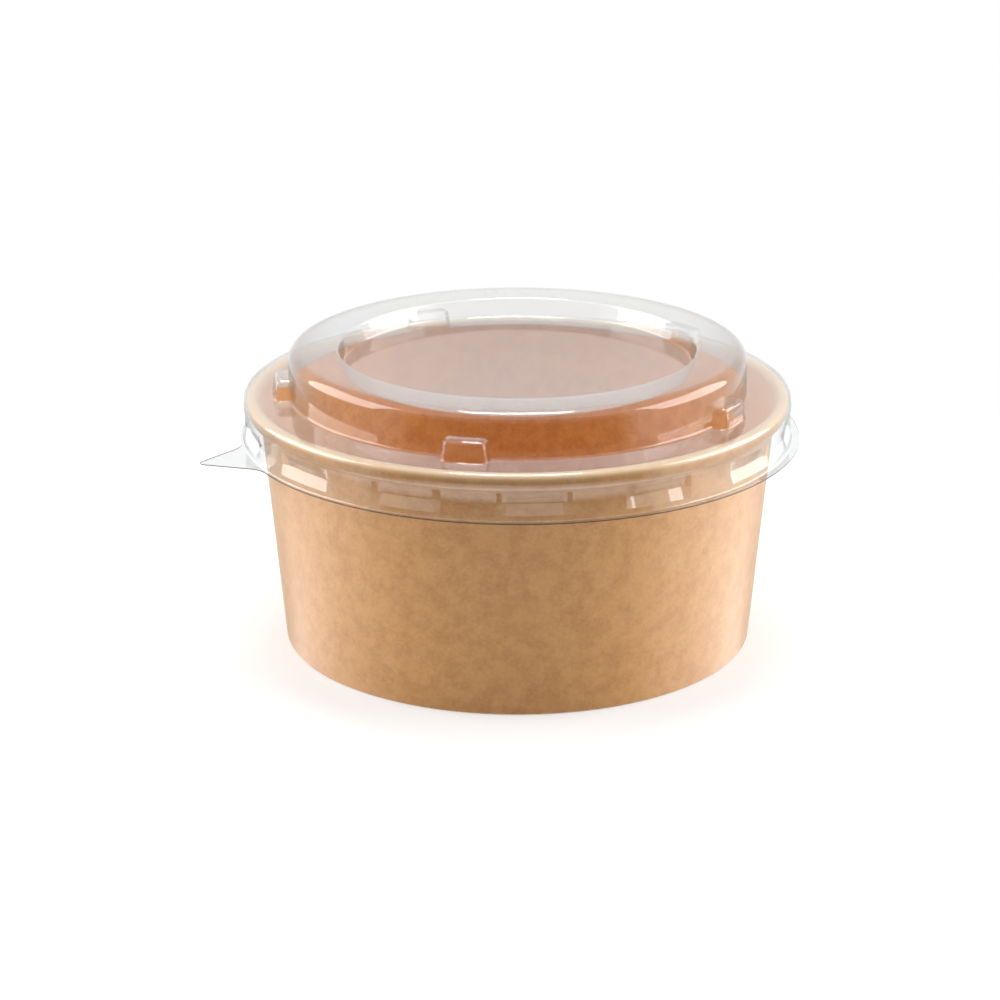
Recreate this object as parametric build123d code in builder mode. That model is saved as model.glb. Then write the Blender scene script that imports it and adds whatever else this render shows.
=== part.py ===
from build123d import *
import os
from math import asin, atan2, cos, degrees, hypot, radians, sin, tan

# Kraft paper salad bowl with a clear thermoformed press-on lid.
# Millimetres. The origin is on the bowl's axis, in the plane that its foot stands on.
# +Z is up, -Y is the front, and angles round the axis are counted from +X towards +Y.

# Paper board
wall_board = 0.45          # thickness of the sidewall blank
base_board = 0.40          # thickness of the bottom disc's board
glue_line = 0.03           # room left between two glued layers

# Bowl
rim_radius = 74.8          # outermost point of the rolled rim
foot_radius = 65.4         # outside of the wall, carried down to the table
bowl_height = 69.9         # table to the top of the rolled rim
roll_width = 3.8           # rolled rim, across
roll_height = 4.6          # rolled rim, top to bottom
roll_end_angle = 60        # how far the roll's edge turns up again inside the roll
fold_radius = 0.12         # inside radius of the folded foot
hem_height = 6.2           # table to the edge of the wall's inward fold
base_height = 7.8          # table to the food side of the bottom disc
base_bend = 1.0            # outside radius where the bottom disc turns down
base_skirt_gap = 0.3       # bottom disc's skirt edge to the inside of the foot fold

# Side seam, where the blank's two ends are glued one over the other
seam_width = 8.0
seam_angle = 97            # at the back
seam_margin = 1.5          # the outer layer stops this far from the foot and the roll

# Lid sheet
sheet = 0.28               # thickness of the clear sheet
seat_gap = 0.08            # rim top to the underside of the lid's flange
snap_clearance = 0.12      # snap lugs to the rolled rim as the lid lifts

# Lid dome
dome_height = 12.3         # flange to the top of the dome, outside
dome_foot_radius = 63.3
dome_draft = 1.5           # degrees that the dome's wall leans in
dome_edge = 3.2            # radius at the dome's top edge
dome_foot_fillet = 0.8
recess_radius = 49.2       # edge of the sunk centre panel
recess_depth = 5.5
recess_draft = 9.0         # degrees that the recess wall leans
recess_edge = 0.9
recess_floor_fillet = 0.9

# Lid flange, skirt and lip
skirt_clearance = 0.42     # rolled rim to the inside of the skirt, at its top
skirt_edge = 1.3           # radius from flange to skirt
shoulder_drop = 2.6        # top of the flange to the skirt's widest upper ring
shoulder_flare = 0.2       # how far that ring stands out past the flange's edge
waist_drop = 8.0           # top of the flange to the skirt's waist
waist_inset = 0.2          # how far the waist lies inside the shoulder
skirt_height = 12.4        # top of the flange to the top of the lip
foot_flare = 0.5           # how far the skirt's foot stands out past the waist
skirt_soft = 1.0           # radius at the shoulder and the waist
lip_fillet = 0.4
lip_width = 0.6            # how far the lip stands out past the skirt, where it is narrowest
lip_shift = 0.8            # the lip is cut out off the lid's axis by this, towards +X

# Pull tab, cut in one with the lip
tab_angle = 198.7          # direction of the tab's tip
tab_reach = 13.4           # past the lip's edge
tab_root_width = 21.0
tab_tip_radius = 1.8
tab_root_fillet = 7.0

# Stacking lugs on the flange, which the foot of the next bowl stands on
lug_count = 5
lug_first_angle = 258.0    # one lug is a little left of the front
lug_width = 12.8           # at the flange
lug_depth = 4.2            # out from the dome's wall
lug_height = 5.6
lug_draft = 9.0            # degrees on the sides and the front
lug_corner = 2.2           # upright corners, at the flange
lug_crown = 1.4            # round the top

# Snap lugs pressed into the skirt under the rolled rim
snap_count = 14
snap_first_angle = 273.3
snap_angle = 14.5          # degrees along the skirt
snap_top = 4.9             # top of the flange to the lug's upper edge
snap_bottom = 10.9         # top of the flange to the lug's lower edge
snap_ridge = 0.4           # height of its innermost face, level with the skirt's waist
snap_end_slope = 5.0       # degrees that the lug's ends open outwards

# Places in the bowl
roll_radius = roll_width / 2
roll_r = rim_radius - roll_radius
roll_z = bowl_height - roll_radius
lean = atan2(roll_r - foot_radius, roll_z) - asin(
    (roll_radius - wall_board) / hypot(roll_r - foot_radius, roll_z)
)
roll_start = (roll_r - roll_radius * cos(lean), roll_z + roll_radius * sin(lean))
tuck_radius = (roll_width - wall_board - glue_line) / 2


def wall_inside(z):
    """Radius of the wall's food side at a height."""
    return foot_radius + z * tan(lean) - wall_board / cos(lean)


def inside_by(z, layers):
    """Radius at a height, some glued layers inside the wall's food side."""
    return wall_inside(z) - layers / cos(lean)


hem_inset = base_board + 2 * glue_line
skirt_end_z = wall_board + base_skirt_gap

# Places in the lid
flange_z = bowl_height + seat_gap + sheet
dome_z = flange_z + dome_height
panel_z = dome_z - recess_depth
shoulder_z = flange_z - shoulder_drop
waist_z = flange_z - waist_drop
lip_z = flange_z - skirt_height
dome_top_radius = dome_foot_radius - dome_height * tan(radians(dome_draft))
panel_radius = recess_radius - recess_depth * tan(radians(recess_draft))
skirt_top_radius = rim_radius + skirt_clearance + sheet
shoulder_radius = skirt_top_radius + shoulder_flare
waist_radius = shoulder_radius - waist_inset
skirt_foot_radius = waist_radius + foot_flare
lip_radius = skirt_foot_radius + lip_width + lip_shift
snap_radius = rim_radius + snap_clearance + sheet


# Sidewall: one board blank, folded in at the foot and rolled out at the rim
with BuildPart() as bowl_wall:
    with BuildSketch(Plane.XZ):
        with BuildLine():
            wall_path = FilletPolyline(
                (inside_by(hem_height, hem_inset), hem_height),
                (inside_by(wall_board, hem_inset), wall_board),
                (wall_inside(wall_board), wall_board),
                roll_start,
                radius=fold_radius,
            )
            over = JernArc(wall_path @ 1, wall_path % 1, roll_radius, degrees(lean) - 180)
            down = Line(over @ 1, over @ 1 - (0, roll_height - roll_radius - tuck_radius))
            offset(amount=wall_board, side=Side.RIGHT, closed=True)
        make_face()
        with BuildLine():
            JernArc(down @ 1, down % 1, tuck_radius, -180 - roll_end_angle)
            offset(amount=wall_board, side=Side.RIGHT, closed=True)
        make_face()
    revolve(axis=Axis.Z)

    # The seam's outer layer lies on the wall from just over the foot to just under the roll
    seam_low = seam_margin
    seam_high = bowl_height - roll_height - seam_margin
    seam_turn = degrees(seam_width / foot_radius)
    seam_start = radians(seam_angle - seam_turn / 2)
    seam_plane = Plane(
        origin=(0, 0, 0),
        x_dir=(cos(seam_start), sin(seam_start), 0),
        z_dir=(sin(seam_start), -cos(seam_start), 0),
    )
    with BuildSketch(seam_plane):
        with BuildLine():
            Polyline(
                (inside_by(seam_low, -wall_board / 2), seam_low),
                (inside_by(seam_low, -2 * wall_board), seam_low),
                (inside_by(seam_high, -2 * wall_board), seam_high),
                (inside_by(seam_high, -wall_board / 2), seam_high),
                close=True,
            )
        make_face()
    revolve(axis=Axis.Z, revolution_arc=seam_turn)

# Bottom disc, its edge turned down between the wall and the wall's folded hem
with BuildPart() as bowl_base:
    with BuildSketch(Plane.XZ):
        with BuildLine():
            FilletPolyline(
                (0, base_height),
                (inside_by(base_height, glue_line), base_height),
                (inside_by(skirt_end_z, glue_line), skirt_end_z),
                radius=base_bend,
            )
            offset(amount=base_board, side=Side.RIGHT, closed=True)
        make_face()
    revolve(axis=Axis.Z)


def lug_form(skin):
    """One stacking lug, filled, as seen at the sheet's outer face or a skin deeper."""
    inner_end = dome_top_radius - dome_edge - skin
    outer_end = dome_foot_radius + lug_depth - skin
    width = lug_width - 2 * skin
    with BuildPart() as form:
        with BuildSketch(Plane.XY.offset(flange_z)):
            with Locations(((inner_end + outer_end) / 2, 0)):
                RectangleRounded(outer_end - inner_end, width, lug_corner - skin / 2)
        extrude(amount=lug_height - skin, taper=lug_draft)
        fillet(form.edges().group_by(Axis.Z)[-1], radius=lug_crown - skin)
        extrude(form.faces().sort_by(Axis.Z)[0], amount=skin + seat_gap)
    return form.part


def snap_form(skin):
    """What one snap lug takes out of the skirt, at the sheet's outer face or a skin deeper."""
    deep = snap_radius - skin
    mouth = skirt_foot_radius
    half = radians(snap_angle / 2)
    end = (waist_radius * cos(half) - skin, waist_radius * sin(half))
    slope = tan(radians(snap_end_slope))
    with BuildPart() as form:
        with BuildSketch(Plane.XZ):
            with BuildLine():
                Polyline(
                    (deep, waist_z - snap_ridge / 2),
                    (deep, waist_z + snap_ridge / 2),
                    (shoulder_radius - skin, flange_z - snap_top),
                    (mouth, flange_z - snap_top),
                    (mouth, flange_z - snap_bottom),
                    (mouth - skin - foot_flare * (skirt_height - snap_bottom)
                     / (skirt_height - waist_drop), flange_z - snap_bottom),
                    close=True,
                )
            make_face()
        revolve(axis=Axis.Z)
        reach = mouth - end[0]
        narrow = end[1] - (end[0] - deep * cos(half)) / slope
        with BuildSketch(Plane.XY.offset(lip_z)):
            with BuildLine():
                Polyline(
                    (deep * cos(half), narrow),
                    (end[0] + reach, end[1] + reach / slope),
                    (end[0] + reach, -end[1] - reach / slope),
                    (deep * cos(half), -narrow),
                    close=True,
                )
            make_face()
        extrude(amount=skirt_height, mode=Mode.INTERSECT)
    return form.part


lid_corners = (
    (0, panel_z),
    (panel_radius, panel_z),
    (recess_radius, dome_z),
    (dome_top_radius, dome_z),
    (dome_foot_radius, flange_z),
    (skirt_top_radius, flange_z),
    (shoulder_radius, shoulder_z),
    (waist_radius, waist_z),
    (skirt_foot_radius, lip_z),
    (skirt_foot_radius + (lip_fillet + lip_width) / 2, lip_z),
)
lid_fillets = (
    recess_floor_fillet,
    recess_edge,
    dome_edge,
    dome_foot_fillet,
    skirt_edge,
    skirt_soft,
    skirt_soft,
    lip_fillet,
)


def lid_form(skin):
    """The lid as a filled form, at the sheet's outer face or a skin deeper, with all its lugs."""
    lip_end = lid_corners[-1][0]
    with BuildPart() as form:
        with BuildSketch(Plane.XZ):
            with BuildLine():
                FilletPolyline(*lid_corners, radius=lid_fillets)
                if skin:
                    offset(amount=skin, side=Side.RIGHT, closed=False)
                Polyline(
                    (lip_end, lip_z - skin),
                    (lip_end, lip_z - skin - sheet),
                    (0, lip_z - skin - sheet),
                    (0, panel_z - skin),
                )
            make_face()
        revolve(axis=Axis.Z)
        with PolarLocations(0, lug_count, start_angle=lug_first_angle):
            add(lug_form(skin))
        with PolarLocations(0, snap_count, start_angle=snap_first_angle):
            add(snap_form(skin), mode=Mode.SUBTRACT)
    return form.part


# Lid: one clear sheet formed over a mould, so it is its outer form less its inner form
with BuildPart() as lid:
    add(lid_form(0))
    add(lid_form(sheet), mode=Mode.SUBTRACT)

    # The lip and the pull tab are cut from the flat sheet left round the skirt's foot
    tab_way = Vector(1, 0).rotate(Axis.Z, tab_angle)
    tab_side = Vector(0, 1).rotate(Axis.Z, tab_angle)
    lip_centre = Vector(lip_shift, 0)
    root_reach = (lip_radius**2 - (tab_root_width / 2) ** 2) ** 0.5
    root_middle = lip_centre + tab_way * root_reach
    tab_tip = lip_centre + tab_way * (lip_radius + tab_reach - tab_tip_radius)
    with BuildSketch(Plane.XY.offset(lip_z - sheet)) as lip:
        with BuildLine():
            Line(
                root_middle + tab_side * tab_root_width / 2,
                root_middle - tab_side * tab_root_width / 2,
            )
            CenterArc(tab_tip, tab_tip_radius, 0, 360)
        make_hull()
        with Locations(lip_centre):
            Circle(lip_radius)
        roots = lip.vertices().sort_by_distance(root_middle)[0:2]
        fillet(roots, radius=tab_root_fillet)
        Circle(skirt_foot_radius + lip_fillet, mode=Mode.SUBTRACT)
    extrude(amount=sheet)

bowl_wall.part.label = "bowl_wall"
bowl_base.part.label = "bowl_base"
lid.part.label = "lid"

os.makedirs("parts", exist_ok=True)
for piece in (bowl_wall.part, bowl_base.part, lid.part):
    export_step(piece, f"parts/{piece.label}.step")
    print(piece.label, round(piece.volume), "mm3", piece.bounding_box())
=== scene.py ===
# %% [markdown]
# A kraft paper bowl under a clear lid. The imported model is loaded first. It is the fixed frame:
# every piece made here takes its place and size from it, in metres, with the bowl's axis along +Z
# and the front of the bowl towards -Y.

# %% Load the frame
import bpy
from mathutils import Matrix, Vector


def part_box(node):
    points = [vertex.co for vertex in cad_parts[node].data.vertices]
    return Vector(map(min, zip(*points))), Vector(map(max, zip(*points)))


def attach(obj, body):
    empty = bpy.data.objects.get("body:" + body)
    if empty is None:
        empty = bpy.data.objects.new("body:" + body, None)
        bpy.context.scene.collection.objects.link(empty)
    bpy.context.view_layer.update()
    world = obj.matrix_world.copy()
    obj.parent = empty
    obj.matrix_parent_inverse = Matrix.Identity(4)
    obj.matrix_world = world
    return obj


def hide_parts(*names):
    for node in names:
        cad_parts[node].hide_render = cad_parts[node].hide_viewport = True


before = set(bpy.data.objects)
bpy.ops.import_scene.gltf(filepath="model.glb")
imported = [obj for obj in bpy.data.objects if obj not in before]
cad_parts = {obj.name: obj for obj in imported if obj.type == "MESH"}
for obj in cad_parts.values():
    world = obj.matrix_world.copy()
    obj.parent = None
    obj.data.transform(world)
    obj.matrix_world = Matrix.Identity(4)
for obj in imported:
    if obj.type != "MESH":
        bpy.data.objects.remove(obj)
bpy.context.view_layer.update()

# %% Tools from Python and Blender
from math import asin, atan2, ceil, cos, degrees, hypot, pi, radians, sin, sqrt, tan

import bpy
from mathutils import Vector

MM = 0.001

# %% [markdown]
# The camera looks down at the bowl by 19.5 degrees, from 0.79 metres away, where the rim's ellipse
# is as round as it is in the photograph. The small shift is only framing.

# %% Camera
view_target = Vector((0, 0, 35 * MM))
view_distance = 790 * MM
view_elevation = radians(19.5)

camera_data = bpy.data.cameras.new("camera")
camera_data.lens = 101.2
camera_data.shift_x = -0.0175
camera_data.shift_y = 0.0071
camera_data.clip_start = 0.01
camera = bpy.data.objects.new("camera", camera_data)
bpy.context.scene.collection.objects.link(camera)
back_off = Vector((0, -cos(view_elevation), sin(view_elevation)))
camera.location = view_target + view_distance * back_off
camera.rotation_euler = (pi / 2 - view_elevation, 0, 0)
bpy.context.scene.camera = camera
bpy.context.scene.view_settings.view_transform = "Standard"
print("camera at", [round(c, 3) for c in camera.location])

# %% [markdown]
# Materials are written as sums. A Wire is one socket, and the signs + - * ** on wires add the Math
# nodes, so that a pattern reads as arithmetic. A Finish is one material, or the room's world, and
# its node method makes any other node from its settings and its inputs.

# %% Wires and finishes
class Wire:
    """A socket that gives a number, a colour or a vector, with arithmetic for numbers."""

    def __init__(self, finish, socket):
        self.finish = finish
        self.socket = socket

    def maths(self, operation, *values):
        inputs = dict(enumerate(values))
        return self.finish.node("ShaderNodeMath", {"operation": operation}, inputs)

    def __add__(self, other):
        return self.maths("ADD", self, other)

    def __radd__(self, other):
        return self.maths("ADD", other, self)

    def __sub__(self, other):
        return self.maths("SUBTRACT", self, other)

    def __rsub__(self, other):
        return self.maths("SUBTRACT", other, self)

    def __mul__(self, other):
        return self.maths("MULTIPLY", self, other)

    def __rmul__(self, other):
        return self.maths("MULTIPLY", other, self)

    def __pow__(self, other):
        return self.maths("POWER", self, other)

    def below(self, limit):
        """1 below a limit, and 0 from it on."""
        return self.maths("LESS_THAN", self, limit)

    def ramp(self, low, high):
        """0 up to low, 1 from high, and a smooth rise between."""
        settings = {"interpolation_type": "SMOOTHSTEP"}
        return self.finish.node("ShaderNodeMapRange", settings, {0: self, 1: low, 2: high})

    def part(self, number):
        """The x, y or z of a vector, by its number from 0."""
        return self.finish.node("ShaderNodeSeparateXYZ", inputs={0: self}, output=number)


class Finish:
    """A node tree, for a material or the world, that is built by calls."""

    def __init__(self, owner):
        self.owner = owner
        owner.use_nodes = True
        self.tree = owner.node_tree
        self.tree.nodes.clear()

    def node(self, kind, settings=None, inputs=None, output=0):
        node = self.tree.nodes.new(kind)
        for name, value in (settings or {}).items():
            setattr(node, name, value)
        for name, value in (inputs or {}).items():
            if isinstance(value, Wire):
                self.tree.links.new(value.socket, node.inputs[name])
            else:
                node.inputs[name].default_value = value
        return Wire(self, node.outputs[output])

    def place(self):
        """Where a point is on the object, in metres."""
        return self.node("ShaderNodeTexCoord", output="Object")

    def noise(self, place, size, detail=2.0, roughness=0.5):
        """Soft random spots about as wide as size, from 0 to 1."""
        inputs = {"Vector": place, "Scale": 1 / size, "Detail": detail, "Roughness": roughness}
        return self.node("ShaderNodeTexNoise", inputs=inputs)

    def blend(self, share, first, second):
        """Two colours, the second by its share."""
        settings = {"data_type": "RGBA", "clamp_factor": True}
        return self.node("ShaderNodeMix", settings, {0: share, 6: first, 7: second}, output=2)

    def end(self, shader, kind="ShaderNodeOutputMaterial"):
        node = self.tree.nodes.new(kind)
        self.tree.links.new(shader.socket, node.inputs[0])
        return self.owner


# %% [markdown]
# The set is a round floor in an even, dim room, with lamps. The floor is mid grey, so that it doesn't
# light the bowl's foot too much, and it is lifted to white where the camera sees it. Past the floor the
# camera sees plain white. Mirrored rays alone see another room, because a clear lid shows mostly what
# it reflects: very bright above and behind, bright on both sides, dim above in front and dark level
# with the bowl, so that the dome's front stays clear, and two bright bands below that veil the lid's
# skirt. Those levels were matched to the photograph, so they suit the side that it shows.

# %% Room
room_fill = 0.34
back_level = 1.40
front_level = 0.4
table_level = 1.8
left_level = 0.65
right_level = 1.25
dark_level = 0.03
back_tilt = 0.55
side_tilt = 0.25

world = bpy.data.worlds.new("room")
bpy.context.scene.world = world
room = Finish(world)
way = room.node("ShaderNodeTexCoord", output="Generated")
way_x, way_y, way_z = (way.part(number) for number in range(3))
seen = room.node("ShaderNodeLightPath", output="Is Camera Ray")
through = room.node("ShaderNodeLightPath", output="Is Transmission Ray")
mirrored = room.node("ShaderNodeLightPath", output="Is Glossy Ray")
behind = (way_z + back_tilt * way_y).ramp(-0.05, 0.35)
on_left = (side_tilt * way_y - way_x).ramp(0.62, 0.78)
on_right = (side_tilt * way_y + way_x).ramp(0.58, 0.80)
sides = left_level * on_left + right_level * on_right
down = -1 * way_z
table = down.ramp(0.41, 0.46) - down.ramp(0.50, 0.54) + down.ramp(0.72, 0.80)
ahead = front_level * way_z.ramp(-0.10, 0.15) + table_level * table
mirror_level = dark_level + back_level * behind + (sides + ahead) * (1 - behind)
level = room_fill + (1 - room_fill) * (seen + through)
level = level * (1 - mirrored) + mirror_level * mirrored
room.end(room.node("ShaderNodeBackground", inputs={0: (1, 1, 1, 1), 1: level}),
         "ShaderNodeOutputWorld")
print("room fill", room_fill)

# %% Floor
floor_radius = 257 * MM
floor_drop = 0.05 * MM
floor_grey = 0.55
floor_lift = 0.5

bpy.ops.object.select_all(action="DESELECT")
bpy.ops.mesh.primitive_circle_add(vertices=128, radius=floor_radius, fill_type="NGON",
                                  location=(0, 0, -floor_drop))
floor = bpy.context.object
floor.name = "floor"
paper = Finish(bpy.data.materials.new("white_floor"))
seen = paper.node("ShaderNodeLightPath", output="Is Camera Ray")
matt = paper.node("ShaderNodeBsdfDiffuse", inputs={0: (floor_grey, floor_grey, floor_grey, 1)})
lift = paper.node("ShaderNodeEmission", inputs={0: (1, 1, 1, 1), 1: seen * floor_lift})
both = paper.node("ShaderNodeAddShader", inputs={0: matt, 1: lift})
floor.data.materials.append(paper.end(both))
floor.visible_glossy = False
print("floor radius", floor_radius)

# %% Lamps
def lamp(name, place, width, height, watts):
    """A white rectangular lamp that faces the bowl."""
    data = bpy.data.lights.new(name, "AREA")
    data.shape = "RECTANGLE"
    data.size = width
    data.size_y = height
    data.energy = watts
    made = bpy.data.objects.new(name, data)
    bpy.context.scene.collection.objects.link(made)
    made.location = place
    made.rotation_euler = (view_target - made.location).to_track_quat("-Z", "Y").to_euler()
    print(name, watts, "watts")


side_distance = 0.95
for name, side, watts in (("left_panel", -1, 10.5), ("right_panel", 1, 11.5)):
    lamp(name, Vector((side * side_distance, 0.10, 0.40)), 1.0, 0.8, watts)
lamp("top_panel", Vector((0, 0.15, 1.10)), 0.45, 0.25, 6.5)

# %% [markdown]
# Kraft board is made of unbleached fibres, so its brown is cloudy: patches a few millimetres wide
# are a little lighter or darker, finer grain lies over them, and here and there a dark fibre shows.
# A thin clear coat gives it a low, broad sheen. The rolled rim is painted paler, a painted highlight in
# the board's colour. The clouds are noise on the place of each point, so they need no unwrapping.

# %% Kraft board
def kraft(name, light, dark, highlight_from):
    """Unbleached coated board between two browns, with a painted highlight above a height."""
    golden_brown = (0.73, 0.40, 0.12, 1)
    speck_brown = (0.20, 0.10, 0.04, 1)
    highlight_cream = (0.92, 0.70, 0.44, 1)
    board = Finish(bpy.data.materials.new(name))
    place = board.place()
    clouds = board.noise(place, 4.5 * MM, 3, 0.6)
    grain = board.noise(place, 1.0 * MM, 2, 0.6)
    fibres = board.noise(place, 0.4 * MM, 2, 0.6)
    depth = (0.44 * clouds.ramp(0.33, 0.67) + 0.30 * grain.ramp(0.32, 0.68)
             + 0.26 * fibres.ramp(0.32, 0.68))
    specks = fibres.ramp(0.68, 0.74) * grain.ramp(0.5, 0.6)
    golden = board.noise(place, 9 * MM, 2, 0.5).ramp(0.3, 0.7)
    # The top of the rolled rim is blended towards a pale cream: a painted highlight.
    rolled = place.part(2).ramp(highlight_from, highlight_from + highlight_rise)
    brown = board.blend(depth, dark, light)
    brown = board.blend(golden * 0.2, brown, golden_brown)
    brown = board.blend(specks * 0.5, brown, speck_brown)
    brown = board.blend(rolled * 0.55, brown, highlight_cream)
    height = 0.6 * grain + 0.4 * fibres
    bump = board.node("ShaderNodeBump", inputs={"Strength": 0.12, "Distance": 0.05 * MM,
                                                "Height": height})
    surface = board.node("ShaderNodeBsdfPrincipled", inputs={
        "Base Color": brown,
        "Roughness": 0.40 + 0.10 * grain,
        "IOR": 1.48,
        "Sheen Weight": 0.45,
        "Sheen Roughness": 0.45,
        "Sheen Tint": (1.0, 1.0, 0.9, 1),
        "Coat Weight": 0.5,
        "Coat Roughness": 0.22,
        "Normal": bump,
    })
    return board.end(surface)


light_brown = (0.81, 0.420, 0.155, 1)
dark_brown = (0.60, 0.265, 0.080, 1)
# How far below the rim's top the painted highlight starts, and how far it takes to rise.
highlight_depth = 2.6 * MM
highlight_rise = 2.2 * MM
rim_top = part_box("bowl_wall")[1].z
wall_finish = kraft("kraft_board", light_brown, dark_brown, rim_top - highlight_depth)
base_finish = kraft("base_board", light_brown, dark_brown, rim_top)
print("kraft finishes made")

# %% [markdown]
# Round pieces start as a line: the piece cut through on one side. One vertex is extruded from
# corner to corner, then each corner is bevelled into an arc. Spinning the line round the bowl's
# axis gives the surface, and Solidify gives it the thickness of the board or the sheet.

# %% Drawing a section
arc_step = radians(9)
same_place = 0.001 * MM
weld = 0.002 * MM


def choose(*pieces):
    """Selects these pieces alone, and makes the first of them the active one."""
    bpy.ops.object.select_all(action="DESELECT")
    for piece in pieces:
        piece.select_set(True)
    bpy.context.view_layer.objects.active = pieces[0]


def start_line(name, x, z):
    """A mesh of one vertex in the XZ plane, left in edit mode and selected."""
    bpy.ops.object.select_all(action="DESELECT")
    bpy.ops.mesh.primitive_plane_add(size=MM, location=(x, 0, z))
    piece = bpy.context.object
    piece.name = name
    bpy.ops.object.transform_apply(location=True)
    bpy.ops.object.mode_set(mode="EDIT")
    bpy.ops.mesh.select_mode(type="VERT")
    bpy.ops.mesh.select_all(action="SELECT")
    bpy.ops.mesh.merge(type="CENTER")
    return piece


def line_on(dx, dz):
    bpy.ops.mesh.extrude_region_move(TRANSFORM_OT_translate={"value": (dx, 0, dz)})


def arc_on(x, z, turn):
    """Turns the line's end round a centre, by an angle that is positive from +X towards +Z."""
    steps = ceil(abs(turn) / arc_step)
    bpy.ops.mesh.spin(steps=steps, angle=turn, center=(x, 0, z), axis=(0, 1, 0))


def pick(piece, wanted, mode="VERT"):
    """Selects the vertices or faces of a piece for which wanted(place) is true."""
    bpy.ops.object.mode_set(mode="EDIT")
    bpy.ops.mesh.select_mode(type=mode)
    bpy.ops.mesh.select_all(action="DESELECT")
    bpy.ops.object.mode_set(mode="OBJECT")
    if mode == "VERT":
        for vertex in piece.data.vertices:
            vertex.select = wanted(vertex.co)
    else:
        for face in piece.data.polygons:
            face.select = wanted(face.center)
    bpy.ops.object.mode_set(mode="EDIT")


def round_corner(piece, before, corner, after, radius):
    """Bevels the line's vertex at a corner into an arc of a radius."""
    first = Vector(corner) - Vector(before)
    second = Vector(after) - Vector(corner)
    turn = first.angle(second)
    middle = Vector((corner[0], 0, corner[1]))
    pick(piece, lambda place: (place - middle).length < same_place)
    bpy.ops.mesh.bevel(offset_type="OFFSET", offset=radius * tan(turn / 2), profile=0.5,
                       segments=max(2, ceil(turn / arc_step)), affect="VERTICES",
                       clamp_overlap=False)


def draw(name, corners, radii):
    """A line through corners, each inner one rounded to its radius, or left sharp at 0."""
    piece = start_line(name, *corners[0])
    for here, there in zip(corners, corners[1:]):
        line_on(there[0] - here[0], there[1] - here[1])
    for number, radius in enumerate(radii, 1):
        if radius:
            round_corner(piece, *corners[number - 1:number + 2], radius)
    return piece


def spin_round(piece, steps, turn=2 * pi):
    """Turns the drawn line into a surface round the bowl's axis."""
    bpy.ops.mesh.select_all(action="SELECT")
    bpy.ops.mesh.spin(steps=steps, angle=turn, center=(0, 0, 0), axis=(0, 0, 1))
    bpy.ops.mesh.select_all(action="SELECT")
    bpy.ops.mesh.remove_doubles(threshold=weld)
    bpy.ops.mesh.normals_make_consistent(inside=False)
    bpy.ops.object.mode_set(mode="OBJECT")


def face_way(piece, place, way):
    """Flips the surface if its face nearest to a place doesn't look in the way that is given."""
    near = min(piece.data.polygons, key=lambda face: (face.center - Vector(place)).length)
    if near.normal.dot(Vector(way)) < 0:
        bpy.ops.object.mode_set(mode="EDIT")
        bpy.ops.mesh.select_all(action="SELECT")
        bpy.ops.mesh.flip_normals()
        bpy.ops.object.mode_set(mode="OBJECT")


def thicken(piece, thickness, offset=-1):
    """Gives a surface its thickness, behind its faces, or in front of them with offset 1."""
    solid = piece.modifiers.new("thickness", "SOLIDIFY")
    solid.thickness = thickness
    solid.offset = offset
    solid.use_even_offset = True
    solid.use_quality_normals = True
    choose(piece)
    bpy.ops.object.modifier_apply(modifier=solid.name)


def finish_piece(piece, finish, body, slot, *nodes, angle=30):
    """Smooths the faces up to an angle, gives the finish and puts the piece on its body."""
    choose(piece)
    bpy.ops.object.shade_smooth_by_angle(angle=radians(angle))
    piece.data.materials.clear()
    piece.data.materials.append(finish)
    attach(piece, body)
    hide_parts(*nodes)
    triangles = sum(len(face.vertices) - 2 for face in piece.data.polygons)
    print(piece.name, "triangles", triangles)


# %% [markdown]
# The sidewall is one board blank. At the foot it is folded inwards over the bottom disc's edge, and
# at the top it is rolled outwards into the rim. The line follows the food side of the board, which
# comes outside on the roll, and the roll's edge tucks up inside itself.

# %% Sizes of the bowl
rim_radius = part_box("bowl_wall")[1].x
bowl_height = rim_top
wall_board = 0.45 * MM
base_board = 0.40 * MM
glue_line = 0.03 * MM
foot_radius = 65.4 * MM
roll_width = 3.8 * MM
roll_height = 4.6 * MM
roll_end = radians(60)
fold_radius = 0.12 * MM
hem_height = 6.2 * MM
base_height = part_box("bowl_base")[1].z
base_bend = 1.0 * MM

roll_radius = roll_width / 2
roll_r = rim_radius - roll_radius
roll_z = bowl_height - roll_radius
lean = atan2(roll_r - foot_radius, roll_z) - asin(
    (roll_radius - wall_board) / hypot(roll_r - foot_radius, roll_z))
tuck_radius = (roll_width - wall_board - glue_line) / 2


def inside_by(z, layers=0):
    """Radius at a height, some layers inside the wall's food side."""
    return foot_radius + z * tan(lean) - (wall_board + layers) / cos(lean)


print("wall leans", round(degrees(lean), 2), "degrees")

# %% Sidewall
round_steps = 256
hem_inset = base_board + 2 * glue_line
roll_start = (roll_r - roll_radius * cos(lean), roll_z + roll_radius * sin(lean))
straight = roll_height - roll_radius - tuck_radius

wall_corners = (
    (inside_by(hem_height, hem_inset), hem_height),
    (inside_by(wall_board, hem_inset), wall_board),
    (inside_by(wall_board), wall_board),
    roll_start,
)
bowl_wall = draw("bowl_wall_board", wall_corners, (fold_radius, fold_radius))
start_place = Vector((roll_start[0], 0, roll_start[1]))
pick(bowl_wall, lambda place: (place - start_place).length < same_place)
arc_on(roll_r, roll_z, lean - pi)
line_on(0, -straight)
arc_on(rim_radius - tuck_radius, roll_z - straight, -pi - roll_end)
spin_round(bowl_wall, round_steps)
face_way(bowl_wall, (inside_by(bowl_height / 2), 0, bowl_height / 2), (-1, 0, 0))
thicken(bowl_wall, wall_board)
print("sidewall", [round(c * 1000, 2) for c in bowl_wall.dimensions])

# %% [markdown]
# At the back, which the photograph doesn't show, the blank's two ends overlap. The outer layer is a
# strip that stands one board proud of the wall. It is drawn and spun like the wall, then turned to
# its place and joined to it.

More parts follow.
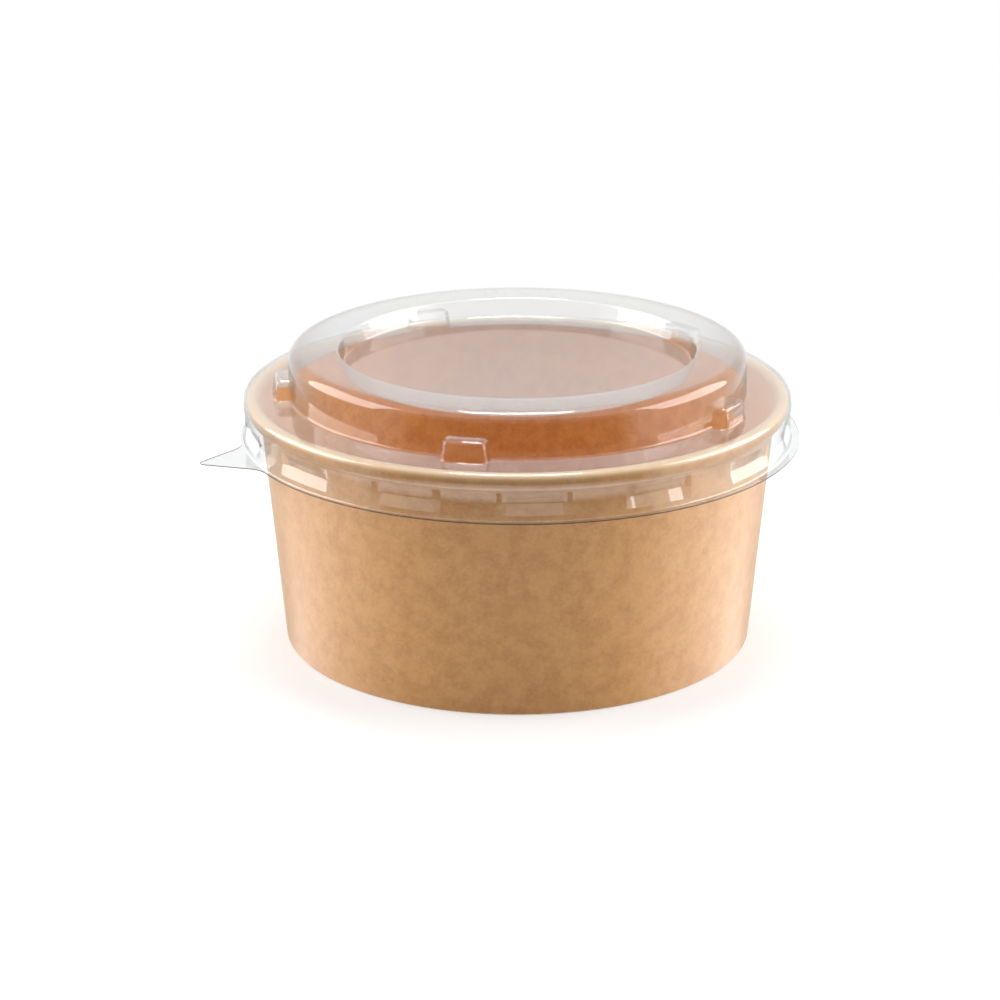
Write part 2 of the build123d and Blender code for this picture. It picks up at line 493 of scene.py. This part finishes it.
# %% Side seam
seam_width = 8.0 * MM
seam_angle = radians(97)
seam_margin = 1.5 * MM
seam_high = bowl_height - roll_height - seam_margin
seam_turn = seam_width / foot_radius
seam_steps = 16

seam_corners = (
    (inside_by(seam_margin, -wall_board), seam_margin),
    (inside_by(seam_high, -wall_board), seam_high),
)
seam = draw("seam", seam_corners, ())
spin_round(seam, seam_steps, seam_turn)
face_way(seam, (inside_by(bowl_height / 2), 0, bowl_height / 2), (1, 0, 0))
thicken(seam, wall_board, 1)
seam_now = sum((v.co for v in seam.data.vertices), Vector()) / len(seam.data.vertices)
seam.rotation_euler.z = seam_angle - atan2(seam_now.y, seam_now.x)
bpy.ops.object.transform_apply(rotation=True)
choose(bowl_wall, seam)
bpy.ops.object.join()
finish_piece(bowl_wall, wall_finish, "bowl", "kraft_board", "bowl_wall")

# %% [markdown]
# The bottom disc is drawn as half its section too: flat to its edge, then turned down between the
# wall and the wall's hem.

# %% Bottom disc
fold_gap = 0.3 * MM
skirt_end = wall_board + fold_gap
disc_corners = (
    (0, base_height),
    (inside_by(base_height, glue_line), base_height),
    (inside_by(skirt_end, glue_line), skirt_end),
)
bowl_base = draw("bowl_base_board", disc_corners, (base_bend,))
spin_round(bowl_base, round_steps)
face_way(bowl_base, (foot_radius / 2, 0, base_height), (0, 0, 1))
thicken(bowl_base, base_board)
finish_piece(bowl_base, base_finish, "bowl", "base_board", "bowl_base")

# %% [markdown]
# The clear sheet hardly has a colour of its own. Seen straight on it lets light through, and at a low
# angle it reflects the room, so its material mixes a transparent and a glossy shader by how much it is
# looked along. Where it is looked along, and on the lip, the light it lets through is painted a faint
# grey: painted shade. The cut edge, which is the only upright face as low as the lip, is painted dark
# grey: painted shade that shows as a dark line.

# %% Clear sheet
def clear_sheet(lip_level):
    """Clear thermoformed sheet, cut out at the lip."""
    mirror_least = 0.045
    cut_share = 0.85
    clear = Finish(bpy.data.materials.new("clear_sheet"))
    place = clear.place()
    waves = clear.noise(place, 9 * MM, 1, 0.4)
    bump = clear.node("ShaderNodeBump", inputs={"Strength": 0.10, "Distance": 0.10 * MM,
                                                "Height": waves})
    edge_on = clear.node("ShaderNodeLayerWeight", inputs={0: 0.5}, output="Facing")
    bare = clear.node("ShaderNodeBsdfTransparent", inputs={0: (0.985, 0.99, 0.99, 1)})
    # Where the sheet is looked along, and on the lip, what it lets through is blended towards grey:
    # painted shade.
    grey = clear.node("ShaderNodeBsdfTransparent", inputs={0: (0.72, 0.73, 0.73, 1)})
    low = place.part(2).below(lip_level + 0.02 * MM)
    shade_share = 0.4 * edge_on.ramp(0.3, 0.75) + 0.2 * low
    body = clear.node("ShaderNodeMixShader", inputs={0: shade_share, 1: bare, 2: grey})
    gloss = clear.node("ShaderNodeBsdfGlossy", inputs={"Roughness": 0.03, "Normal": bump})
    mirror_share = mirror_least + (1 - mirror_least) * edge_on ** 5.0
    formed = clear.node("ShaderNodeMixShader", inputs={0: mirror_share, 1: body, 2: gloss})
    facing_up = clear.node("ShaderNodeNewGeometry", output="True Normal").part(2)
    cut = low * (facing_up * facing_up).below(0.1)
    # The cut edge is painted dark grey: painted shade that draws it as a dark line.
    edge_shade = clear.node("ShaderNodeBsdfDiffuse", inputs={0: (0.10, 0.10, 0.10, 1)})
    shader = clear.node("ShaderNodeMixShader", inputs={0: cut * cut_share, 1: formed, 2: edge_shade})
    return clear.end(shader)


bpy.context.scene.cycles.transparent_max_bounces = 32

# %% [markdown]
# The lid is one formed sheet. Its section runs from the sunk panel over the raised ring, down the
# dome, across the flange, down the skirt and out into the lip. Two more points on the skirt are
# where the snap lugs begin and end.

# %% Sizes of the lid
sheet = 0.28 * MM
recess_depth = 5.5 * MM
recess_draft = radians(9)
dome_height = 12.3 * MM
dome_draft = radians(1.5)
skirt_height = 12.4 * MM
dome_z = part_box("lid")[1].z
panel_z = dome_z - recess_depth
flange_z = dome_z - dome_height
lip_z = flange_z - skirt_height
recess_radius = 49.2 * MM
panel_radius = recess_radius - recess_depth * tan(recess_draft)
dome_edge = 3.2 * MM
dome_foot_radius = 63.3 * MM
dome_top_radius = dome_foot_radius - dome_height * tan(dome_draft)
skirt_top_radius = 75.5 * MM
shoulder = (75.75 * MM, flange_z - 2.6 * MM)
waist = (75.3 * MM, flange_z - 8.0 * MM)
skirt_foot = (76.0 * MM, lip_z)
foot_flat = 0.5 * MM
snap_top_drop = 4.9 * MM
snap_bottom_drop = 10.9 * MM


def along(first, second, z):
    """The point at a height on the straight line between two others."""
    share = (z - first[1]) / (second[1] - first[1])
    return (first[0] + share * (second[0] - first[0]), z)


snap_top = along(shoulder, waist, flange_z - snap_top_drop)
snap_bottom = along(waist, skirt_foot, flange_z - snap_bottom_drop)
lid_corners = (
    (0, panel_z),
    (panel_radius, panel_z),
    (recess_radius, dome_z),
    (dome_top_radius, dome_z),
    (dome_foot_radius, flange_z),
    (skirt_top_radius, flange_z),
    shoulder,
    snap_top,
    waist,
    snap_bottom,
    skirt_foot,
    (skirt_foot[0] + foot_flat, lip_z),
)
lid_fillets = (0.9 * MM, 0.9 * MM, dome_edge, 0.8 * MM, 1.3 * MM, 1.0 * MM, 0, 1.0 * MM, 0,
               0.4 * MM)
print("lid heights", [round(z * 1000, 2) for z in (dome_z, panel_z, flange_z, lip_z)])

# %% Lid surface
snap_count = 14
columns_each = 28
columns = columns_each * snap_count
snap_first = radians(273.3)

lid = draw("lid_sheet", lid_corners, lid_fillets)
spin_round(lid, columns)
face_way(lid, (0, 0, panel_z), (0, 0, 1))
choose(lid)
lid.rotation_euler.z = snap_first % (2 * pi / columns)
bpy.ops.object.transform_apply(rotation=True)
print("lid surface", len(lid.data.vertices), "points")

# %% [markdown]
# Fourteen snap lugs are pressed into the skirt, to hold under the rim. They share one shape, so
# their points are picked together, by how far they are from the nearest lug's middle, and scaled
# towards the axis. It takes two goes, the second a column shorter at each end, which slopes the
# ends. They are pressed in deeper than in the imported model, whose rigid lid has to lift past the rim.

# %% Snap lugs
snap_depth = 1.1 * MM
snap_reach = 7.5
waist_reach = 0.3 * MM
column_turn = 2 * pi / columns


def columns_from_snap(place):
    """How many columns a point is from the middle of the nearest snap lug."""
    pitch = 2 * pi / snap_count
    off = (atan2(place.y, place.x) - snap_first + pitch / 2) % pitch - pitch / 2
    return abs(off) / column_turn


def press_in(reach, depth):
    """Moves the waist's points within some columns of a snap lug's middle towards the axis."""
    pick(lid, lambda place: abs(place.z - waist[1]) < waist_reach
         and columns_from_snap(place) < reach)
    share = 1 - depth / waist[0]
    bpy.ops.transform.resize(value=(share, share, 1), center_override=(0, 0, 0))
    bpy.ops.object.mode_set(mode="OBJECT")


press_in(snap_reach, snap_depth / 2)
press_in(snap_reach - 1, snap_depth / 2)
print("snap lugs", snap_count)

# %% [markdown]
# A stacking lug starts as a flat plane with its corners rounded. Insetting its top face again and
# again, each time a little higher, carries it up through the hollow foot, the sloping sides and the
# rounded crown. One is made, then copied round the dome.

# %% Stacking lug
lug_count = 5
lug_first = radians(258)
lug_width = 12.8 * MM
lug_reach = 4.2 * MM
lug_height = 5.6 * MM
lug_draft = radians(9)
lug_corner = 2.2 * MM
lug_crown = 1.4 * MM
lug_foot = 0.4 * MM
lug_sink = 0.25 * MM


def rise(thickness, height):
    """Insets the lug's top face and lifts it."""
    bpy.ops.mesh.inset(thickness=thickness, depth=height, use_even_offset=True)


def rise_round(radius, first, last, steps):
    """Lifts the top face along an arc, from one steepness to another."""
    for step in range(steps):
        a = first + (last - first) * step / steps
        b = first + (last - first) * (step + 1) / steps
        rise(radius * abs(sin(b) - sin(a)), radius * abs(cos(b) - cos(a)))


def stacking_lug():
    inner = dome_top_radius - dome_edge - lug_foot
    outer = dome_foot_radius + lug_reach + lug_foot
    bpy.ops.object.select_all(action="DESELECT")
    bpy.ops.mesh.primitive_plane_add(size=1, location=((inner + outer) / 2, 0, flange_z))
    lug = bpy.context.object
    lug.name = "stacking_lug"
    lug.scale = (outer - inner, lug_width + 2 * lug_foot, 1)
    bpy.ops.object.transform_apply(location=True, scale=True)
    bpy.ops.object.mode_set(mode="EDIT")
    bpy.ops.mesh.select_all(action="SELECT")
    bpy.ops.mesh.bevel(offset_type="OFFSET", offset=lug_corner + lug_foot, segments=8,
                       profile=0.5, affect="VERTICES", clamp_overlap=False)
    bpy.ops.mesh.select_mode(type="FACE")
    bpy.ops.mesh.select_all(action="SELECT")
    side = pi / 2 - lug_draft
    rise_round(lug_foot, 0, side, 4)
    straight_rise = lug_height - (lug_foot + lug_crown) * (1 - cos(side))
    rise(straight_rise * tan(lug_draft), straight_rise)
    rise_round(lug_crown, side, 0, 6)
    bpy.ops.object.mode_set(mode="OBJECT")
    return lug


lug = stacking_lug()
print("lug", [round(c * 1000, 2) for c in lug.dimensions], len(lug.data.polygons), "faces")

# %% Close the lug below and copy it
bpy.ops.object.mode_set(mode="EDIT")
bpy.ops.mesh.select_mode(type="EDGE")
bpy.ops.mesh.select_all(action="DESELECT")
bpy.ops.mesh.select_non_manifold()
bpy.ops.mesh.extrude_region_move(TRANSFORM_OT_translate={"value": (0, 0, -lug_sink)})
bpy.ops.mesh.edge_face_add()
bpy.ops.mesh.select_all(action="SELECT")
bpy.ops.mesh.normals_make_consistent(inside=False)
bpy.ops.object.mode_set(mode="OBJECT")
lugs = [lug]
for number in range(1, lug_count):
    choose(lug)
    bpy.ops.object.duplicate()
    lugs.append(bpy.context.object)
for number, each in enumerate(lugs):
    choose(each)
    each.rotation_euler.z = lug_first + number * 2 * pi / lug_count
    bpy.ops.object.transform_apply(rotation=True)
print("lugs", len(lugs))

# %% Join the lugs to the lid
in_plane = 0.01 * MM
near_axis = 10 * MM

choose(lid)
bpy.ops.object.mode_set(mode="EDIT")
bpy.ops.mesh.select_mode(type="EDGE")
bpy.ops.mesh.select_all(action="DESELECT")
bpy.ops.mesh.select_non_manifold()
bpy.ops.mesh.edge_face_add()
bpy.ops.mesh.select_all(action="SELECT")
bpy.ops.mesh.normals_make_consistent(inside=False)
bpy.ops.object.mode_set(mode="OBJECT")
for each in lugs:
    union = lid.modifiers.new("lug", "BOOLEAN")
    union.operation = "UNION"
    union.solver = "EXACT"
    union.object = each
    bpy.ops.object.modifier_apply(modifier=union.name)
    bpy.data.objects.remove(each)
pick(lid, lambda place: place.z < lip_z + in_plane and hypot(place.x, place.y) < near_axis, "FACE")
bpy.ops.mesh.delete(type="ONLY_FACE")
bpy.ops.object.mode_set(mode="OBJECT")
print("lid with lugs", len(lid.data.polygons), "faces")

# %% [markdown]
# The lip and the pull tab are cut from the flat sheet left round the skirt's foot, a little off
# centre. Their outline is drawn with the same two tools, straight lines and arcs, and the flat
# space between it and the skirt's foot is filled.

# %% Lip and tab outline
lip_shift = 0.8 * MM
lip_radius = 77.4 * MM
tab_angle = radians(198.7)
tab_reach = 13.4 * MM
tab_root = 21.0 * MM / 2
tab_tip = 1.8 * MM
tab_fillet = 7.0 * MM
lip_steps = 300
fillet_steps = 8
tip_steps = 14

tip_middle = Vector((lip_radius + tab_reach - tab_tip, 0))
root = Vector((sqrt(lip_radius ** 2 - tab_root ** 2), tab_root))
to_tip = tip_middle - root
edge_angle = atan2(to_tip.y, to_tip.x) + asin(tab_tip / to_tip.length)
edge_way = Vector((cos(edge_angle), sin(edge_angle)))
edge_out = Vector((-edge_way.y, edge_way.x))
base = root + edge_out * tab_fillet
along_edge = -base.dot(edge_way)
reach = (lip_radius + tab_fillet) ** 2 - (base - edge_way * base.dot(edge_way)).length_squared
fillet_middle = base + edge_way * (along_edge + sqrt(reach))
fillet_angle = atan2(fillet_middle.y, fillet_middle.x)
print("fillet centre", [round(c * 1000, 2) for c in fillet_middle])


# %% Lip and tab line
def flat_start(name, place):
    """One vertex in the flat sheet, where an outline starts."""
    piece = start_line(name, place.x, lip_z)
    bpy.ops.transform.translate(value=(0, place.y, 0))
    return piece


def flat_line(first, second):
    way = second - first
    bpy.ops.mesh.extrude_region_move(TRANSFORM_OT_translate={"value": (way.x, way.y, 0)})


def flat_arc(middle, turn, steps):
    """Turns the outline's end round a centre, counter-clockwise for a positive angle."""
    bpy.ops.mesh.spin(steps=steps, angle=-turn, center=(middle.x, middle.y, lip_z),
                      axis=(0, 0, 1))


mirror = Vector((1, -1))
fillet_turn = (fillet_middle * -1).angle(edge_out * -1)
near_end = fillet_middle - edge_out * tab_fillet
near_tip = tip_middle + edge_out * tab_tip
tip_turn = 2 * atan2(edge_out.y, edge_out.x)

lip_start = Vector((cos(fillet_angle), sin(fillet_angle))) * lip_radius
lip = flat_start("lip", lip_start)
flat_arc(Vector((0, 0)), 2 * pi - 2 * fillet_angle, lip_steps)
flat_arc(fillet_middle * mirror, -fillet_turn, fillet_steps)
flat_line(near_end * mirror, near_tip * mirror)
flat_arc(tip_middle, tip_turn, tip_steps)
flat_line(near_tip, near_end)
flat_arc(fillet_middle, -fillet_turn, fillet_steps)
bpy.ops.mesh.select_all(action="SELECT")
bpy.ops.mesh.remove_doubles(threshold=in_plane)
bpy.ops.object.mode_set(mode="OBJECT")
lip.rotation_euler.z = tab_angle
lip.location.x = lip_shift
bpy.ops.object.transform_apply(location=True, rotation=True)
print("lip outline", len(lip.data.vertices), "points", len(lip.data.edges), "edges")

# %% Fill between the skirt's foot and the outline
foot_edge = skirt_foot[0] + 0.9 * foot_flat

choose(lid, lip)
bpy.ops.object.join()
pick(lid, lambda place: abs(place.z - lip_z) < in_plane
     and hypot(place.x, place.y) > foot_edge)
bpy.ops.mesh.fill(use_beauty=True)
print("lip faces", lid.data.total_face_sel)
bpy.ops.mesh.select_all(action="SELECT")
bpy.ops.mesh.remove_doubles(threshold=weld)
bpy.ops.mesh.normals_make_consistent(inside=False)
bpy.ops.object.mode_set(mode="OBJECT")
face_way(lid, (0, 0, panel_z), (0, 0, 1))
thicken(lid, sheet)
finish_piece(lid, clear_sheet(lip_z), "lid", "clear_sheet", "lid", angle=10)
